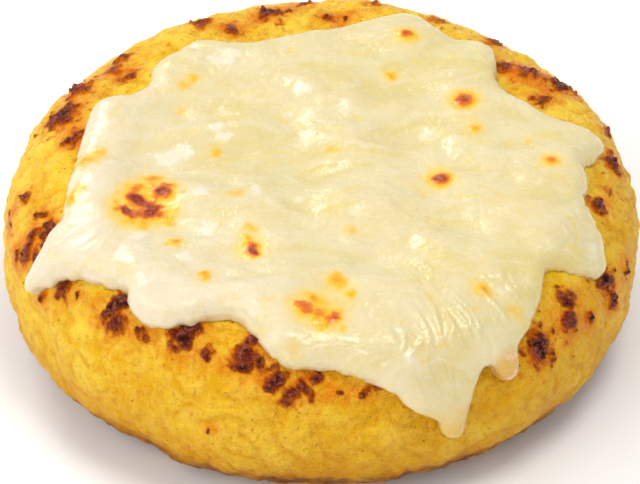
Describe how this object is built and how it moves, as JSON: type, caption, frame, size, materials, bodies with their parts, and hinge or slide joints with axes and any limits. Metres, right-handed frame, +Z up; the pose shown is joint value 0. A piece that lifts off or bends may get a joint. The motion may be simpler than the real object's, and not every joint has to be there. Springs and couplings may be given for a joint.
{
  "type": "arepa corn cake",
  "caption": "Thick round corn-dough cake with a browned rim, topped with a sheet of melted cheese that runs down its front.",
  "frame": {"origin": "middle of the flat base, at the bottom of the whole", "axes": "+Z up through the cake's thickness, -Y towards the side that the long cheese drip runs down"},
  "size_m": [0.1038, 0.1042, 0.0347],
  "materials": {
    "corn_cake": "lumpy, slightly oily corn dough, browned to dark spots round its rim",
    "melted_cheese": "glossy pale melted cheese with browned blisters"
  },
  "bodies": {
    "root": {"corn_cake": "corn_cake", "melted_cheese": "melted_cheese"}
  },
  "joints": []
}
